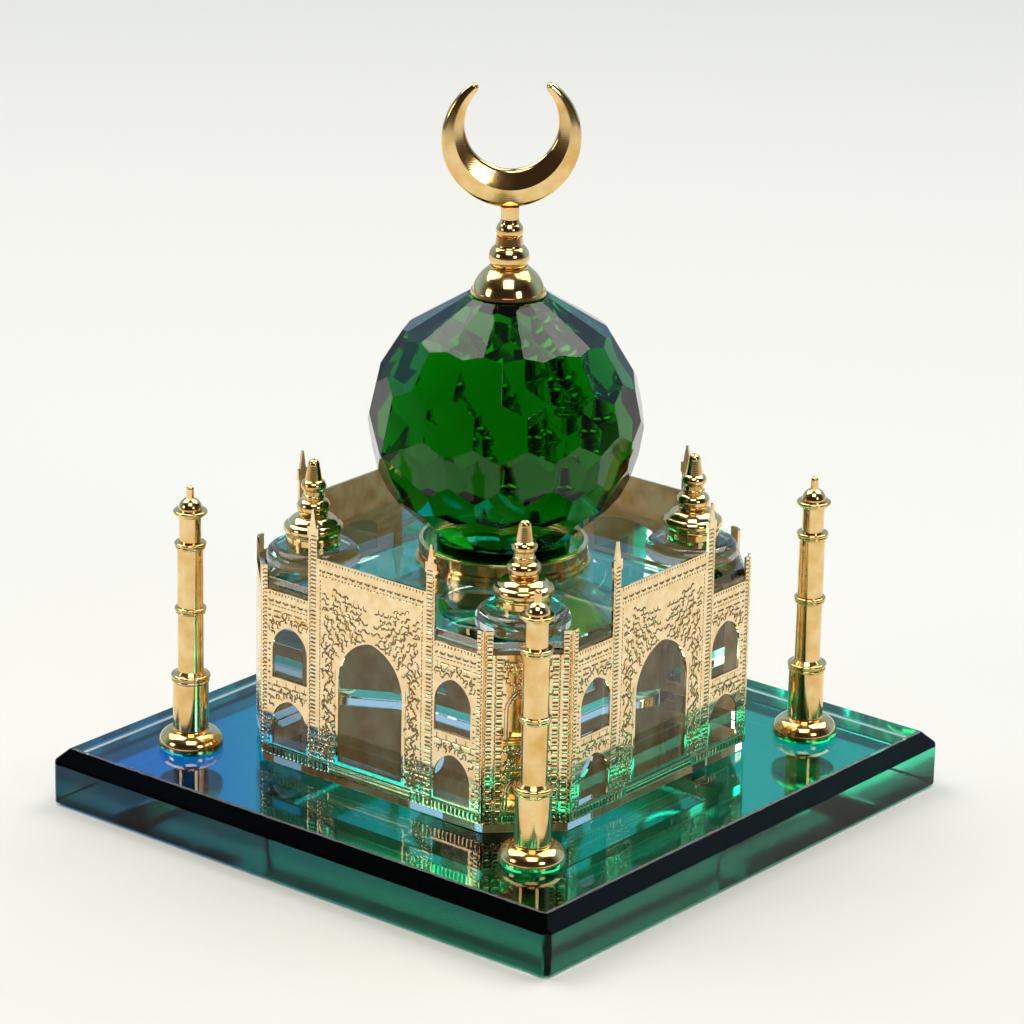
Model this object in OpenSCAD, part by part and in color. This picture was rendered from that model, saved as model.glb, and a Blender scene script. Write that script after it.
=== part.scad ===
// Miniature crystal landmark: a solid glass hall faced with thin etched gold sheets, a faceted green
// crystal ball for its dome, four glass corner discs with gold finials and four gold minarets, all
// standing on a thick bevelled glass plate that is mirrored underneath.
// Z is up, the origin is the middle of the underside, and the front facade looks along -Y.

/* [Base plate] */
// Side of the square plate
base_side = 100; // [94:1:120]
// Height of the plate with its mirror sheet
base_h = 9.5; // [7:0.5:14]
// Width of the bevel round the top, seen from above
base_bevel_w = 2.1; // [1:0.1:4]
// Height of the bevel round the top
base_bevel_h = 2.3; // [1:0.1:4]
// Cut across each upright edge
base_corner_cut = 0.8; // [0.4:0.1:2]
// Thickness of the mirror sheet under the glass
mirror_h = 0.4; // [0.2:0.1:1]

/* [Hall] */
// Width of the glass hall, flat to flat
hall_w = 62.7; // [60:0.1:66]
// Height of the glass hall
hall_h = 30.4; // [29:0.1:34]
// Cut across each upright corner, measured along a side
hall_cut = 9.2; // [8:0.1:11]
// Polished bevel round the hall's top
hall_bevel = 0.8; // [0.4:0.1:1.2]

/* [Etched sheets] */
// Thickness of the gold sheet
sheet = 0.35; // [0.2:0.05:0.6]
// Glass left bare below the sheets
sheet_foot = 1.5; // [1:0.1:2.5]
// Top of the low wings above the plate
wing_top = 28.8; // [28:0.1:30]
// Top of the raised middle above the plate
middle_top = 36.2; // [34:0.1:40]
// Top of the short posts at the ends of each sheet
post_top = 32.6; // [30:0.1:35]
// Tip of the two needles on each facade
needle_top = 43.9; // [40:0.1:48]
// Half the width of the raised middle, to the inside of its pilasters
middle_half = 10.9; // [10:0.1:11.5]
// Width of a pilaster
pilaster_w = 1.7; // [1.4:0.1:1.8]
// Width of an end post
post_w = 1.2; // [0.8:0.1:1.4]

/* [Arches] */
// Half the width of the tall middle arch
gate_half = 6.4; // [5:0.1:7]
// Sill of the middle arch above the plate
gate_sill = 4; // [3:0.1:6]
// Point of the middle arch above the plate
gate_top = 24.9; // [23:0.1:26]
// Half the width of a window
window_half = 3.55; // [3:0.05:3.8]
// Distance of a window's middle from the facade's middle
window_off = 16.35; // [16.2:0.05:16.5]
// Sill of the upper windows above the plate
upper_sill = 14.6; // [14:0.1:16]
// Point of the upper windows above the plate
upper_top = 23.4; // [22:0.1:24]
// Sill of the lower windows above the plate
lower_sill = 3.5; // [3:0.1:4.5]
// Point of the lower windows above the plate
lower_top = 11.2; // [10:0.1:12]

/* [Corner discs and finials] */
// Distance of a disc's axis from the middle, along X and along Y
disc_off = 21; // [20:0.1:21.4]
// Radius of a glass disc
disc_r = 7.3; // [6.5:0.1:7.4]
// Height of a glass disc
disc_h = 3.1; // [2.5:0.1:4]

/* [Minarets] */
// Distance of a minaret's axis from the middle, along X and along Y
minaret_off = 34.5; // [34:0.1:38]
// Radius of a minaret's foot
foot_r = 5.15; // [4.5:0.05:5.6]

/* [Crystal dome] */
// Distance from the ball's middle to each facet
ball_r = 20.8; // [19:0.1:22]
// Height of the ball's middle above the hall's roof
ball_rise = 22.7; // [22.5:0.1:24]
// Facets in one row
facet_n = 16; // [12:1:20]
// Turn of the ball about its axis
ball_turn = 3; // [0:0.5:22.5]
// Height of the flat table above the ball's middle
table_rise = 20.4; // [19:0.1:20.5]
// Radius of the turned foot the ball stands on
ball_foot_r = 10.4; // [9:0.1:11]
// Outer radius of the gold collar at its top
collar_r = 13.2; // [12.8:0.1:14]
// Height of the gold collar
collar_h = 3.6; // [3:0.1:4.5]

/* [Crescent finial] */
// Height of the turned stem
stem_h = 13.9; // [13:0.1:16]
// Outer radius of the crescent
moon_r = 10.7; // [9:0.1:12]
// Radius of the crescent's inner circle
moon_in_r = 7.2; // [6:0.1:7.4]
// How far the inner circle's middle lies above the outer one's
moon_shift = 2.5; // [2:0.1:2.7]
// Half the angle left open between the horns
horn_gap = 32; // [25:1:45]
// Turn of the crescent's flat side away from the front
moon_turn = 45; // [0:1:90]

/* [Hidden] */
$fn = 64;

gold = "#e6c078";
clear_glass = "#dfeceb";
teal_glass = "#7fb3b0";
green_crystal = "#0b6b1e";
teal_mirror = "#1d9aa8";

// how far cutters and joined outlines run on past each other
past = 1;

hall_half = hall_w / 2;
hall_edge = hall_half - hall_cut;                  // where a side meets the corner face
corner_dist = (hall_half + hall_edge) / sqrt(2);   // from the axis to a corner face
corner_half = hall_cut / sqrt(2);                  // half the width of a corner face
roof = base_h + hall_h;

// corners, counted round from front right: the turn that brings the front right one there
FRONT_RIGHT = 0;
BACK_RIGHT = 90;
BACK_LEFT = 180;
FRONT_LEFT = 270;

// ---- base ----

// a square with its four corners cut off
module cut_square(side, cut) {
    half = side / 2;
    polygon([
        [half, half - cut], [half - cut, half], [cut - half, half], [-half, half - cut],
        [-half, cut - half], [cut - half, -half], [half - cut, -half], [half, cut - half]
    ]);
}

// takes the bevel off one top edge of a block whose side lies at +X
module edge_bevel(half, top, w, h) {
    translate([0, half + past, 0])
        rotate([90, 0, 0])
            linear_extrude(2 * (half + past))
                polygon([
                    [half - w, top], [half - w, top + past],
                    [half + past, top + past], [half + past, top - h], [half, top - h]
                ]);
}

module base_mirror() {
    margin = 0.6;
    color(teal_mirror)
        linear_extrude(mirror_h)
            cut_square(base_side - 2 * margin, base_corner_cut);
}

module base_plate() {
    color(teal_glass)
        difference() {
            translate([0, 0, mirror_h])
                linear_extrude(base_h - mirror_h)
                    cut_square(base_side, base_corner_cut);
            for (turn = [0:90:270])
                rotate(turn)
                    edge_bevel(base_side / 2, base_h, base_bevel_w, base_bevel_h);
        }
}

// ---- hall ----

module glass_hall() {
    color(clear_glass)
        difference() {
            translate([0, 0, base_h])
                linear_extrude(hall_h)
                    cut_square(hall_w, hall_cut);
            for (turn = [0:90:270]) {
                rotate(turn)
                    edge_bevel(hall_half, roof, hall_bevel, hall_bevel);
                rotate(turn + 45)
                    edge_bevel(corner_dist, roof, hall_bevel, hall_bevel);
            }
        }
}

// ---- etched sheets ----

// a pointed arch standing on its sill: two arcs over a straight-sided opening
module arch(half, sill, top, rise) {
    shift = (rise * rise - half * half) / (2 * half);
    spring = top - rise;
    translate([-half, sill])
        square([2 * half, spring - sill]);
    intersection() {
        translate([-shift, spring])
            circle(half + shift);
        translate([shift, spring])
            circle(half + shift);
        translate([-half, spring])
            square([2 * half, rise]);
    }
}

// a pilaster with a small capital and a needle over it, its foot at the wing's level
module needle_post() {
    capital_z = needle_top - 4.6;
    capital_w = pilaster_w + 0.5;
    capital_h = 1.7;
    spire_w = 1.4;
    translate([-pilaster_w / 2, wing_top - 1])
        square([pilaster_w, capital_z - wing_top + 1]);
    translate([-capital_w / 2, capital_z])
        square([capital_w, capital_h]);
    spire_z = capital_z + capital_h - 0.3;
    tip_w = 0.3;
    polygon([
        [-spire_w / 2, spire_z], [-tip_w / 2, needle_top],
        [tip_w / 2, needle_top], [spire_w / 2, spire_z]
    ]);
}

module facade_outline() {
    difference() {
        union() {
            translate([-hall_edge, sheet_foot])
                square([2 * hall_edge, wing_top - sheet_foot]);
            translate([-middle_half, wing_top - past])
                square([2 * middle_half, middle_top - wing_top + past]);
            for (side = [-1, 1]) {
                translate([side * (middle_half + pilaster_w / 2), 0])
                    needle_post();
                translate([side * (hall_edge - post_w / 2) - post_w / 2, wing_top - past])
                    square([post_w, post_top - wing_top + past]);
            }
        }
        arch(gate_half, gate_sill, gate_top, 7.5);
        for (side = [-1, 1])
            translate([side * window_off, 0]) {
                arch(window_half, upper_sill, upper_top, 4.2);
                arch(window_half, lower_sill, lower_top, 4.2);
            }
    }
}

// stands a flat outline upright on a face that lies dist in front of the axis
module stand_sheet(dist) {
    color(gold)
        translate([0, -dist, base_h])
            rotate([90, 0, 0])
                linear_extrude(sheet)
                    children();
}

module facade(turn) {
    rotate(turn)
        stand_sheet(hall_half)
            facade_outline();
}

// the corner sheets' arches are blind: they are only etched into the face
module corner_outline() {
    translate([-corner_half, sheet_foot])
        square([2 * corner_half, wing_top - sheet_foot]);
    for (side = [-1, 1])
        translate([side * (corner_half - post_w / 2) - post_w / 2, wing_top - past])
            square([post_w, post_top - wing_top + past]);
}

module corner_panel(turn) {
    rotate(turn + 45)
        stand_sheet(corner_dist)
            corner_outline();
}

// ---- turned pieces ----

// turns a half outline about Z
module turned() {
    rotate_extrude()
        intersection() {
            translate([0, -past])
                square([100, 200]);
            children();
        }
}

// a round-edged bead of radius r, its middle at height z, with an edge of radius e
module bead(z, r, e) {
    translate([0, z - e])
        square([r - e, 2 * e]);
    translate([r - e, z])
        circle(e);
}

// a straight or tapering length from z0 to z1
module taper(z0, r0, z1, r1) {
    polygon([[0, z0], [r0, z0], [r1, z1], [0, z1]]);
}

// a clear disc: a small bottom edge, a straight rim and a rounded shoulder
module corner_disc(turn) {
    bottom_edge = 0.6;
    rim_top = 1.3;
    shoulder = disc_h - rim_top;
    color(clear_glass)
        rotate(turn)
            translate([disc_off, -disc_off, roof])
                turned() {
                    taper(0, disc_r - bottom_edge, bottom_edge, disc_r);
                    taper(bottom_edge, disc_r, rim_top, disc_r);
                    intersection() {
                        translate([disc_r - shoulder, rim_top])
                            circle(shoulder);
                        translate([0, rim_top])
                            square([disc_r, shoulder]);
                    }
                    taper(rim_top, disc_r - shoulder, disc_h, disc_r - shoulder);
                }
}

module corner_finial(turn) {
    color(gold)
        rotate(turn)
            translate([disc_off, -disc_off, roof + disc_h])
                turned() {
                    taper(0, 4.25, 1.5, 4.25);       // straight rim
                    taper(1.5, 4.05, 1.8, 4.05);     // groove
                    bead(2.7, 4.7, 1);               // bell, low part
                    intersection() {                 // bell, round top
                        translate([1.9, 2.3])
                            circle(2.5);
                        translate([0, 2.3])
                            square([4.6, 2.4]);
                    }
                    taper(2.3, 1.9, 4.6, 1.9);
                    taper(4.4, 2.35, 5.1, 2.2);      // neck collar
                    bead(6.1, 2.65, 1.3);            // large bead
                    taper(7, 1.7, 8.9, 1.45);
                    bead(7.8, 1.75, 0.3);            // collar
                    bead(9.5, 2, 0.95);              // small bead
                    taper(10.3, 1.35, 12.8, 0.95);   // cone
                    translate([0, 12.8])
                        circle(0.95);                // round tip
                }
}

module minaret(turn) {
    low_r = 2.8;
    mid_r = 2.03;
    top_r = 1.72;
    color(gold)
        rotate(turn)
            translate([minaret_off, -minaret_off, base_h])
                turned() {
                    taper(0, foot_r - 0.25, 0.4, foot_r);            // foot
                    taper(0.4, foot_r, 0.7, foot_r);
                    intersection() {
                        translate([foot_r - 2.3, 0.7])
                            circle(2.3);
                        translate([0, 0.7])
                            square([foot_r, 2.3]);
                    }
                    taper(0.7, foot_r - 2.3, 3, foot_r - 2.3);
                    taper(2.8, low_r + 0.2, 3.3, low_r);
                    taper(3, low_r, 11.3, low_r);                    // lowest stage
                    bead(11.2, 3, 0.3);                              // lower balcony
                    taper(11.2, 2.75, 12.2, 2.75);
                    bead(11.95, 3.12, 0.35);
                    taper(12.1, 2.7, 12.8, mid_r);
                    taper(12, mid_r, 33.9, mid_r);                   // two middle stages
                    bead(22.6, 2.4, 0.28);                           // second balcony
                    bead(23.1, 2.52, 0.3);
                    bead(33.3, 2.4, 0.28);                           // third balcony
                    bead(33.8, 2.52, 0.3);
                    taper(33.8, top_r, 39.2, top_r);                 // top stage
                    bead(38.6, 2.3, 0.28);
                    bead(39, 2.7, 0.32);                             // cap ring
                    translate([0, 39.4])
                        circle(1.9);                                 // round cap
                    taper(41, 0.6, 42.6, 0.6);                       // spike
                    translate([0, 42.6])
                        circle(0.6);
                }
}

// a thin turned band with a wide lip at its foot and a groove above the lip
module dome_collar() {
    wall = 0.65;
    lip_r = collar_r + 0.55;
    groove_r = collar_r - 0.25;
    inner_r = collar_r - wall;
    color(gold)
        translate([0, 0, roof])
            rotate_extrude()
                difference() {
                    union() {
                        taper(0, lip_r, 0.6, lip_r);
                        taper(0.6, collar_r + 0.2, 1.3, collar_r + 0.2);
                        taper(1.3, groove_r, 1.8, groove_r);
                        taper(1.8, collar_r, collar_h - 0.3, collar_r);
                        bead(collar_h - 0.25, collar_r + 0.08, 0.25);
                    }
                    translate([0, -past])
                        square([inner_r, collar_h + 2 * past]);
                }
}

// ---- faceted ball ----

// one row of facets: how steep its flats face up and how far they lie from the ball's middle,
// and whether the row is turned by half a facet
FACET_ROWS = [
    [58, -0.2, 0.5],
    [31, 0.1, 0],
    [12, 0.1, 0.5],
    [-9, 0, 0],
    [-25, 0, 0.5],
    [-47, -0.5, 0]
];

// all that lies on the inner side of one facet
module behind_facet(tilt, extra, turn) {
    size = 3 * ball_r;
    rotate(turn)
        rotate([0, -tilt, 0])
            translate([ball_r + extra - size, -size / 2, -size / 2])
                cube(size);
}

module crystal_dome() {
    foot_h = 4.4;
    color(green_crystal)
        translate([0, 0, roof])
            rotate(ball_turn) {
                intersection() {
                    translate([0, 0, foot_h])
                        cylinder(r = ball_r * 1.2, h = ball_rise + table_rise - foot_h);
                    translate([0, 0, ball_rise])
                        intersection_for(row = FACET_ROWS)
                            intersection_for(i = [0:facet_n - 1])
                                behind_facet(row[0], row[1], (i + row[2]) * 360 / facet_n);
                }
                cylinder(r = ball_foot_r, h = foot_h);
            }
}

// ---- crescent and its stem ----

moon_z = roof + ball_rise + table_rise + stem_h + moon_r - 0.1;
bevel_slope = 0.37;
rim_half = 0.6;

// the crescent's outer shape: a disc bevelled on both sides towards a narrow rim
module moon_disc() {
    mid_half = rim_half + (moon_r - 0.3) * bevel_slope;
    rotate_extrude($fn = 96)
        polygon([
            [0, -mid_half], [moon_r - 0.3, -rim_half], [moon_r, -0.3],
            [moon_r, 0.3], [moon_r - 0.3, rim_half], [0, mid_half]
        ]);
}

// the hole that makes it a crescent, flared on both sides
module moon_hole() {
    reach = 6;
    flare_r = moon_in_r + 0.3 + (reach - rim_half) / bevel_slope;
    rotate_extrude($fn = 96)
        polygon([
            [0, -reach], [flare_r, -reach], [moon_in_r + 0.3, -rim_half], [moon_in_r, -0.3],
            [moon_in_r, 0.3], [moon_in_r + 0.3, rim_half], [flare_r, reach], [0, reach]
        ]);
}

// puts the crescent's own frame, with its axis along Z, upright over the stem
module stand_moon() {
    translate([0, 0, moon_z])
        rotate([0, 0, moon_turn])
            rotate([90, 0, 0])
                children();
}

module crescent() {
    reach = 2 * moon_r;
    half_w = reach * tan(horn_gap);
    color(gold)
        stand_moon()
            difference() {
                moon_disc();
                translate([0, moon_shift, 0])
                    moon_hole();
                translate([0, 0, -reach / 2])
                    linear_extrude(reach)
                        polygon([[0, 0], [half_w, reach], [-half_w, reach]]);
            }
}

module dome_finial() {
    color(gold)
        difference() {
            translate([0, 0, roof + ball_rise + table_rise])
                turned() {
                    taper(0, 5.6, 0.3, 5.85);        // bell
                    taper(0.3, 5.85, 0.8, 5.75);
                    intersection() {
                        translate([0, -0.5])
                            circle(5.75);
                        translate([0, 0.6])
                            square([5.75, 3.7]);
                    }
                    taper(3.3, 3.15, 4.6, 2.95);     // waist
                    bead(6, 3.15, 2.1);              // large bead
                    taper(7.6, 2.25, 9.2, 2);
                    bead(10.2, 2.12, 1.4);           // small bead
                    taper(11.2, 1.6, 12, 1.4);
                    taper(12, 1.4, stem_h + 0.5, 1.45);
                }
            stand_moon()
                moon_disc();
        }
}

base_mirror();
base_plate();
glass_hall();
facade(FRONT_RIGHT);  // facade_front
facade(BACK_RIGHT);  // facade_right
facade(BACK_LEFT);  // facade_back
facade(FRONT_LEFT);  // facade_left
corner_panel(FRONT_RIGHT);  // corner_panel_front_right
corner_panel(BACK_RIGHT);  // corner_panel_back_right
corner_panel(BACK_LEFT);  // corner_panel_back_left
corner_panel(FRONT_LEFT);  // corner_panel_front_left
corner_disc(FRONT_RIGHT);  // corner_disc_front_right
corner_disc(BACK_RIGHT);  // corner_disc_back_right
corner_disc(BACK_LEFT);  // corner_disc_back_left
corner_disc(FRONT_LEFT);  // corner_disc_front_left
corner_finial(FRONT_RIGHT);  // corner_finial_front_right
corner_finial(BACK_RIGHT);  // corner_finial_back_right
corner_finial(BACK_LEFT);  // corner_finial_back_left
corner_finial(FRONT_LEFT);  // corner_finial_front_left
minaret(FRONT_RIGHT);  // minaret_front_right
minaret(BACK_RIGHT);  // minaret_back_right
minaret(BACK_LEFT);  // minaret_back_left
minaret(FRONT_LEFT);  // minaret_front_left
dome_collar();
crystal_dome();
dome_finial();
crescent();
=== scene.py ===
import math
import bpy
import bmesh
import numpy as np
from mathutils import Matrix, Vector


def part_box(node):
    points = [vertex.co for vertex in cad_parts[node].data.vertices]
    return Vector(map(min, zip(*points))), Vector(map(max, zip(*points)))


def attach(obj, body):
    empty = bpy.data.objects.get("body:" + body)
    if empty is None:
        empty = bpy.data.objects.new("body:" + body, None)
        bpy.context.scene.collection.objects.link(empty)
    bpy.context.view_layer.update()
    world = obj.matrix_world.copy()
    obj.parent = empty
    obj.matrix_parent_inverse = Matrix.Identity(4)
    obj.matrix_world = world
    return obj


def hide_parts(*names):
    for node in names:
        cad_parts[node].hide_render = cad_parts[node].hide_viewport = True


# Crystal and gold landmark model. The frame's glass bodies get ground edges, and the turned gold, the
# crescent and the etched sheets are worked out as finer surfaces on the frame's own sizes. Lengths in the
# dictionaries are millimetres unless a note says otherwise.

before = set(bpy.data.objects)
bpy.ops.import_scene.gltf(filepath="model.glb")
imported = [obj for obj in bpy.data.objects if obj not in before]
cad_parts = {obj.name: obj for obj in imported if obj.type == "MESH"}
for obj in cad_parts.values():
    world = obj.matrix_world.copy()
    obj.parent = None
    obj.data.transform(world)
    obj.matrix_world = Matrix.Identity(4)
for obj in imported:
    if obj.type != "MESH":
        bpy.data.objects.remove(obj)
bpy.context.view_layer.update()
mm = 0.001
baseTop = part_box("base_plate")[1].z / mm
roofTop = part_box("glass_hall")[1].z / mm
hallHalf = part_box("glass_hall")[1].x / mm
print("frame loaded, base top %.2f mm, roof %.2f mm" % (baseTop, roofTop))

cornerTurns = {"front_right": 0, "back_right": 90, "back_left": 180, "front_left": 270}
facadeTurns = {"front": 0, "right": 90, "back": 180, "left": 270}
inset = 0.02                     # how far a piece is let into its seat, so that no two faces share a plane

# the camera looks from where the front facade and the right facade are both seen; angles in degrees
view = {"place": (447.2, -554.8, 296.0), "azimuth": 38.872, "elevation": 19.762,
        "roll": 1.157, "lens": 170.35, "sensor": 36, "shiftX": 0.0088, "shiftY": 0.0448}
cameraData = bpy.data.cameras.new("camera")
cameraData.lens, cameraData.sensor_width = view["lens"], view["sensor"]
cameraData.shift_x, cameraData.shift_y = view["shiftX"], view["shiftY"]
cameraData.clip_start, cameraData.clip_end = 0.01, 20
camera = bpy.data.objects.new("camera", cameraData)
camera.rotation_mode = "QUATERNION"
azimuth, elevation = math.radians(view["azimuth"]), math.radians(view["elevation"])
lookBack = Vector((math.sin(azimuth) * math.cos(elevation), -math.cos(azimuth) * math.cos(elevation),
                   math.sin(elevation)))
rollTurn = Matrix.Rotation(math.radians(view["roll"]), 3, lookBack)
camera.rotation_quaternion = (rollTurn @ (-lookBack).to_track_quat("-Z", "Y").to_matrix()).to_quaternion()
camera.location = Vector(view["place"]) * mm
bpy.context.scene.collection.objects.link(camera)
bpy.context.scene.camera = camera


def linear(code):
    # sRGB hex to linear colour: c / 12.92 in the darks, ((c + 0.055) / 1.055) to the power 2.4 above
    part = [int(code[i:i + 2], 16) / 255 for i in (0, 2, 4)]
    return [c / 12.92 if c <= 0.04045 else ((c + 0.055) / 1.055) ** 2.4 for c in part] + [1]


def feed(tree, node, **inputs):
    # a link or a plain value for each input, which is named with _ for a space, or i and its number
    for key, value in inputs.items():
        socket = node.inputs[int(key[1:]) if key[1:].isdigit() else key.replace("_", " ")]
        if isinstance(value, bpy.types.NodeSocket):
            tree.links.new(value, socket)
        else:
            socket.default_value = value


def add(tree, kind, settings=None, **inputs):
    # one node with its settings, a colour ramp's stops among them, and its inputs
    node = tree.nodes.new(kind)
    for key, value in (settings or {}).items():
        if key != "stops":
            setattr(node, key, value)
            continue
        elements = node.color_ramp.elements
        while len(elements) < len(value):
            elements.new(0.5)
        for element, (at, code) in zip(elements, value):
            element.position, element.color = at, linear(code)
    feed(tree, node, **inputs)
    return node


def newMaterial(name):
    material = bpy.data.materials.new(name)
    material.use_nodes = True
    tree = material.node_tree
    shader = next(n for n in tree.nodes if n.type == "BSDF_PRINCIPLED")
    out = next(n for n in tree.nodes if n.type == "OUTPUT_MATERIAL")
    coords = add(tree, "ShaderNodeTexCoord").outputs["Object"]
    return material, tree, shader, out, coords


def goldPlate():
    # turned brass, gold plated and buffed: a warm mirror whose reflections are broken a little by haze
    # spots and by faint turning rings; real rings are finer than 0.1 mm and wouldn't show
    look = {"light": "F3D49A", "deep": "E0B267", "rough": (0.07, 0.17), "spot": 3.0, "ring": 0.35,
            "pit": 0.25, "bump": 0.05, "relief": 0.02}
    bandUnit = 0.314             # a band texture of scale 1 repeats every 2 pi / 20
    material, tree, shader, out, coords = newMaterial("buffed_gold_plate")
    haze = add(tree, "ShaderNodeTexNoise", Vector=coords, Scale=1 / (look["spot"] * mm),
               Detail=4).outputs["Fac"]
    pits = add(tree, "ShaderNodeTexNoise", Vector=coords, Scale=1 / (look["pit"] * mm),
               Detail=2).outputs["Fac"]
    rings = add(tree, "ShaderNodeTexWave", {"wave_type": "BANDS", "bands_direction": "Z"}, Vector=coords,
                Scale=bandUnit / (look["ring"] * mm), Distortion=1.5, Detail=1.0).outputs["Fac"]
    tone = add(tree, "ShaderNodeValToRGB", {"stops": [(0.3, look["deep"]), (0.65, look["light"])]}, Fac=haze)
    rough = add(tree, "ShaderNodeMapRange", Value=haze, From_Min=0.3, From_Max=0.7,
                To_Min=look["rough"][1], To_Max=look["rough"][0])
    height = add(tree, "ShaderNodeMath", {"operation": "MULTIPLY_ADD"}, i0=pits, i1=0.5, i2=rings)
    bump = add(tree, "ShaderNodeBump", Height=height.outputs[0], Strength=look["bump"],
               Distance=look["relief"] * mm)
    feed(tree, shader, Base_Color=tone.outputs["Color"], Roughness=rough.outputs["Result"],
         Normal=bump.outputs["Normal"], Metallic=1)
    return material


def etchedGold():
    # photo-etched brass sheet, gold plated: mirror-bright where the resist kept the acid off, matt and
    # darker in the lines that it ate
    look = {"face": "FBE2B8", "tone": "F0D09C", "line": "AE8A54", "deep": "7C5C30", "rough": 0.03,
            "lineRough": 0.4, "cloud": 1.6, "grain": 0.18, "cloudRough": 0.08, "bump": 0.05, "relief": 0.01}
    material, tree, shader, out, coords = newMaterial("etched_gold_sheet")
    etch = add(tree, "ShaderNodeAttribute", {"attribute_name": "etch"}).outputs["Fac"]
    mask = add(tree, "ShaderNodeMapRange", {"interpolation_type": "SMOOTHSTEP"}, Value=etch,
               From_Min=0.25, From_Max=0.7).outputs["Result"]
    cloud = add(tree, "ShaderNodeTexNoise", Vector=coords, Scale=1 / (look["cloud"] * mm),
                Detail=5).outputs["Fac"]
    grain = add(tree, "ShaderNodeTexNoise", Vector=coords, Scale=1 / (look["grain"] * mm),
                Detail=2).outputs["Fac"]
    tone = add(tree, "ShaderNodeValToRGB", {"stops": [(0.35, look["tone"]), (0.6, look["face"])]}, Fac=cloud)
    line = add(tree, "ShaderNodeValToRGB", {"stops": [(0.35, look["deep"]), (0.65, look["line"])]}, Fac=grain)
    colour = add(tree, "ShaderNodeMix", {"data_type": "RGBA"}, i0=mask, i6=tone.outputs["Color"],
                 i7=line.outputs["Color"])
    faceRough = add(tree, "ShaderNodeMath", {"operation": "MULTIPLY_ADD"}, i0=cloud, i1=look["cloudRough"],
                    i2=look["rough"])
    rough = add(tree, "ShaderNodeMix", {"data_type": "FLOAT"}, i0=mask, i2=faceRough.outputs[0],
                i3=look["lineRough"])
    bump = add(tree, "ShaderNodeBump", Height=grain, Strength=look["bump"], Distance=look["relief"] * mm)
    feed(tree, shader, Base_Color=colour.outputs[2], Roughness=rough.outputs[0],
         Normal=bump.outputs["Normal"], Metallic=1)
    return material


def brassBack():
    # the sheet's unplated back under a glue film, seen through the glass: blotched and half dull. Both its
    # colours are lifted well above bare brass: painted light that stands in for the light the glass keeps off
    # it, while the blotches are the back's own tone
    look = {"dark": "E0AC6C", "light": "FFE2B0", "blot": 4.0, "rough": (0.3, 0.55), "metallic": 0.45}
    material, tree, shader, out, coords = newMaterial("glued_brass_back_with_painted_light")
    blots = add(tree, "ShaderNodeTexNoise", Vector=coords, Scale=1 / (look["blot"] * mm),
                Detail=5).outputs["Fac"]
    tone = add(tree, "ShaderNodeValToRGB", {"stops": [(0.35, look["dark"]), (0.65, look["light"])]},
               Fac=blots)
    rough = add(tree, "ShaderNodeMapRange", Value=blots, To_Min=look["rough"][0], To_Max=look["rough"][1])
    feed(tree, shader, Base_Color=tone.outputs["Color"], Roughness=rough.outputs["Result"],
         Metallic=look["metallic"])
    return material


def crystal(name, look):
    # ground and polished optical glass: clear, with a tint that deepens along the light's path, and
    # flat faces with the slightest polishing waves. shine is the share of its reflection that is kept
    material, tree, shader, out, coords = newMaterial(name)
    waves = add(tree, "ShaderNodeTexNoise", Vector=coords, Scale=1 / (look["wave"] * mm),
                Detail=1).outputs["Fac"]
    film = add(tree, "ShaderNodeTexNoise", Vector=coords, Scale=1 / (look["wave"] * 2 * mm),
               Detail=3).outputs["Fac"]
    tone = add(tree, "ShaderNodeValToRGB", {"stops": [(0.3, look["surface"]), (0.7, "FFFFFF")]}, Fac=film)
    bump = add(tree, "ShaderNodeBump", Height=waves, Strength=0.02, Distance=0.05 * mm)
    feed(tree, shader, Base_Color=tone.outputs["Color"], Normal=bump.outputs["Normal"], Roughness=0,
         IOR=look["ior"], Transmission_Weight=1, Specular_Tint=(look["shine"],) * 3 + (1,))
    body = add(tree, "ShaderNodeVolumeAbsorption", Color=linear(look["body"]), Density=look["density"])
    feed(tree, out, Volume=body.outputs["Volume"])
    return material


def tealFilm():
    # vacuum-coated mirror film under the plate: a sea green mirror with faint stains, turning blue towards
    # one corner. That blue is a painted reflection of a blue backdrop, fixed to the film, while the sea green
    # is the film's own tint. from and to are places along X + Y, in metres
    look = {"reflectedBlue": "0890F0", "green": "04E8BE", "from": -0.075, "to": -0.01, "stain": 9,
            "rough": (0.03, 0.09)}
    material, tree, shader, out, coords = newMaterial("coated_mirror_film")
    axes = add(tree, "ShaderNodeSeparateXYZ", Vector=coords)
    # along X + Y the film runs from the painted blue reflection to its own sea green
    along = add(tree, "ShaderNodeMath", {"operation": "ADD"}, i0=axes.outputs["X"], i1=axes.outputs["Y"])
    blend = add(tree, "ShaderNodeMapRange", Value=along.outputs[0], From_Min=look["from"],
                From_Max=look["to"])
    stain = add(tree, "ShaderNodeTexNoise", Vector=coords, Scale=1 / (look["stain"] * mm),
                Detail=3).outputs["Fac"]
    mixed = add(tree, "ShaderNodeMath", {"operation": "MULTIPLY_ADD"}, i0=stain, i1=0.2,
                i2=blend.outputs["Result"])
    tone = add(tree, "ShaderNodeValToRGB", {"stops": [(0.05, look["reflectedBlue"]), (0.9, look["green"])]},
               Fac=mixed.outputs[0])
    rough = add(tree, "ShaderNodeMapRange", Value=stain, To_Min=look["rough"][0], To_Max=look["rough"][1])
    feed(tree, shader, Base_Color=tone.outputs["Color"], Roughness=rough.outputs["Result"], Metallic=1)
    return material


gold, sheetFace, sheetBack, film = goldPlate(), etchedGold(), brassBack(), tealFilm()
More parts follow.
